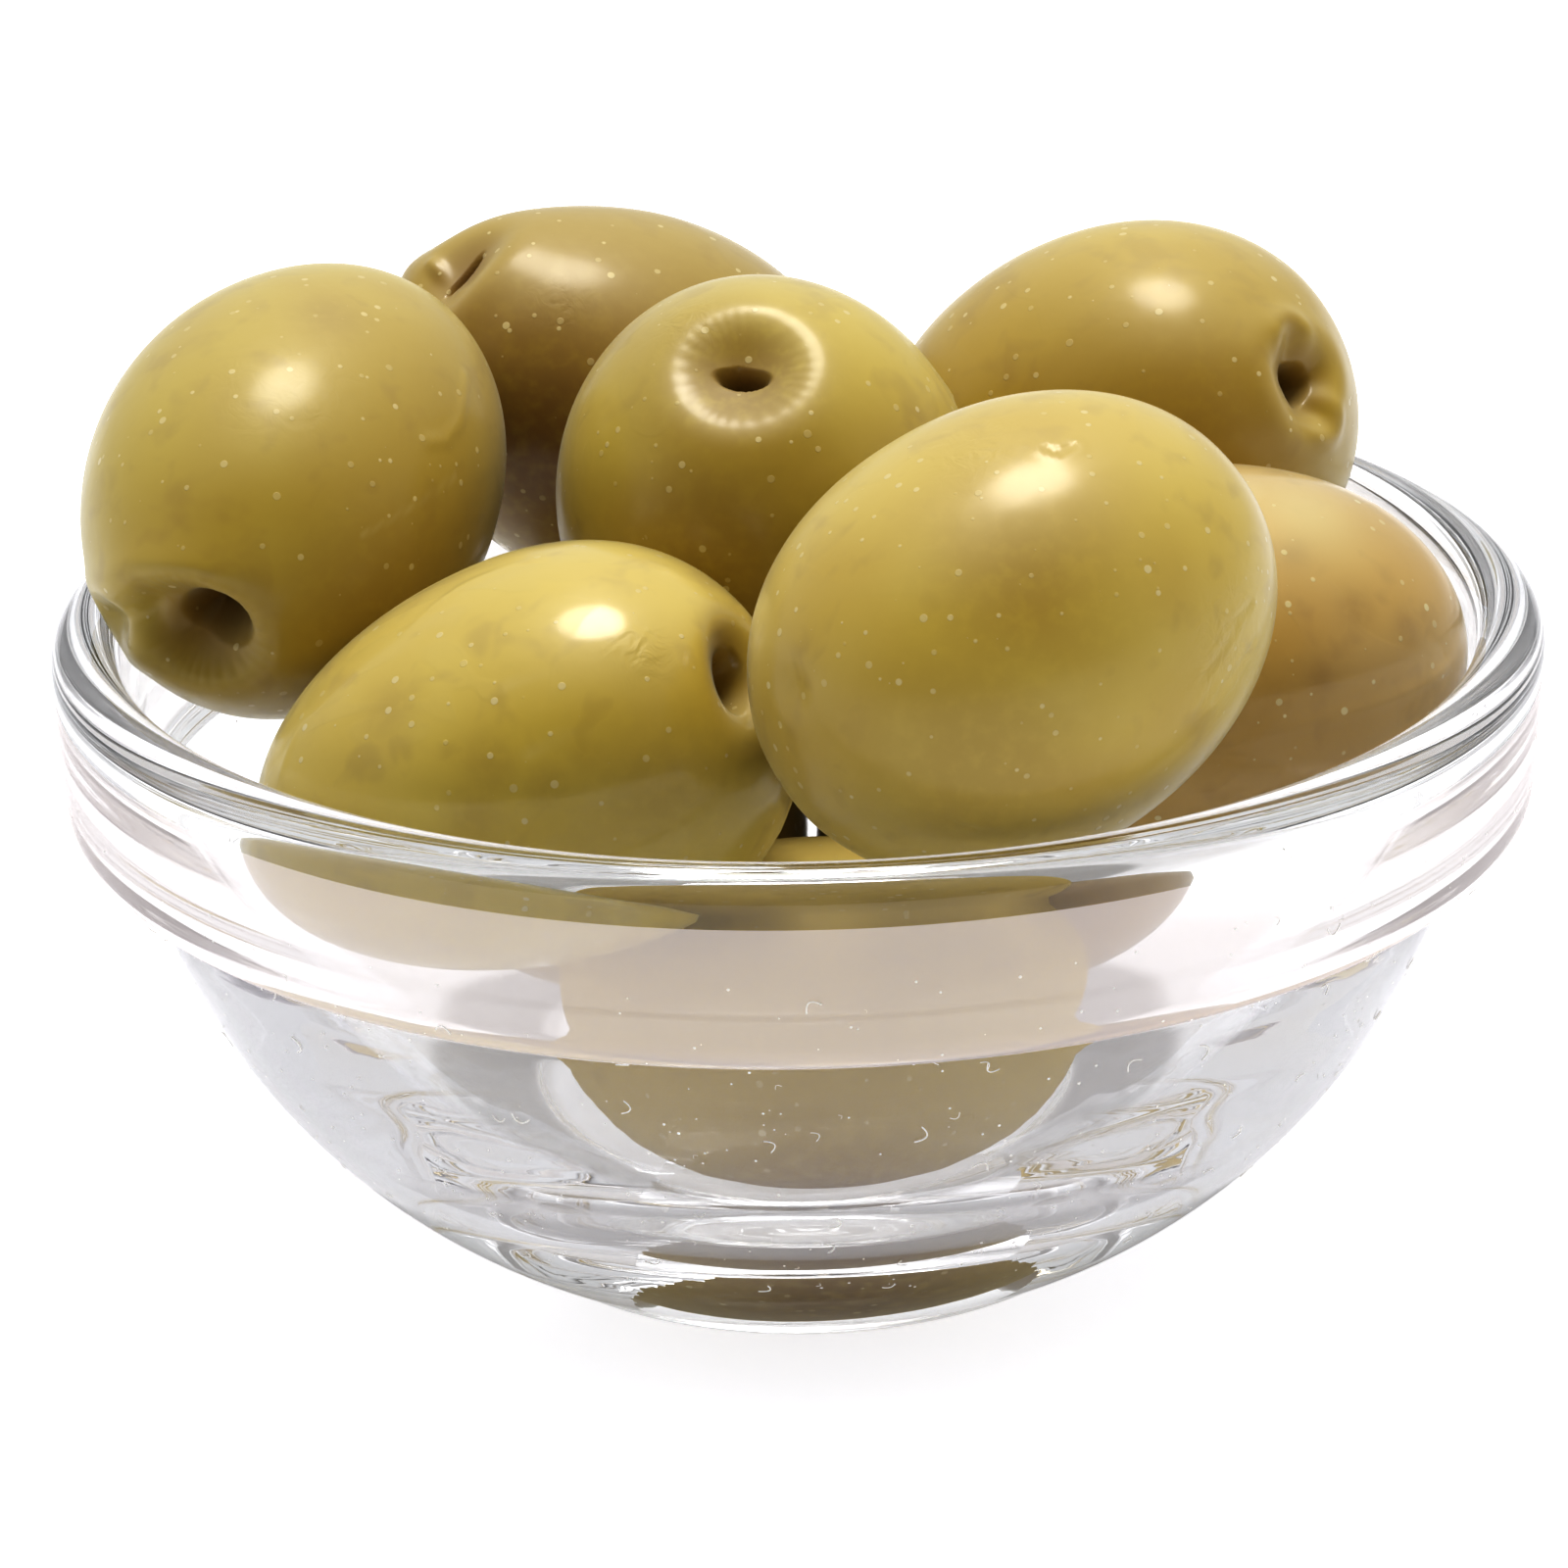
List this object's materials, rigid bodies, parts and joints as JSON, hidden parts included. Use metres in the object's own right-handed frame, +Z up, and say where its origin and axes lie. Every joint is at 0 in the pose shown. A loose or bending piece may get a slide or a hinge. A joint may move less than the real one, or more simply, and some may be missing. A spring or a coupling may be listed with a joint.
{
  "type": "bowl of olives",
  "caption": "Small clear glass bowl with a thick stepped rim band, heaped with whole pitted green olives.",
  "frame": {"origin": "middle of the bowl's flat foot, on the surface that it stands on", "axes": "+Z up, -Y towards the front that the picture shows, +X to the viewer's right"},
  "size_m": [0.06, 0.06, 0.041],
  "materials": {
    "bowl_glass": "clear, polished, slightly grey-green at its thick edges",
    "olive_skin": "wet, glossy, yellow-green to brown-green with fine pale specks",
    "lint": "fine pale dust and fibres on the outside of the glass"
  },
  "bodies": {
    "root": {"glass_bowl": "bowl_glass", "olive_left": "olive_skin", "olive_back_left": "olive_skin", "olive_centre": "olive_skin", "olive_front_left": "olive_skin", "olive_front_right": "olive_skin", "olive_back_right": "olive_skin", "olive_right": "olive_skin", "olive_low_front": "olive_skin", "olive_low_back_left": "olive_skin", "olive_low_back_right": "olive_skin"}
  },
  "joints": []
}
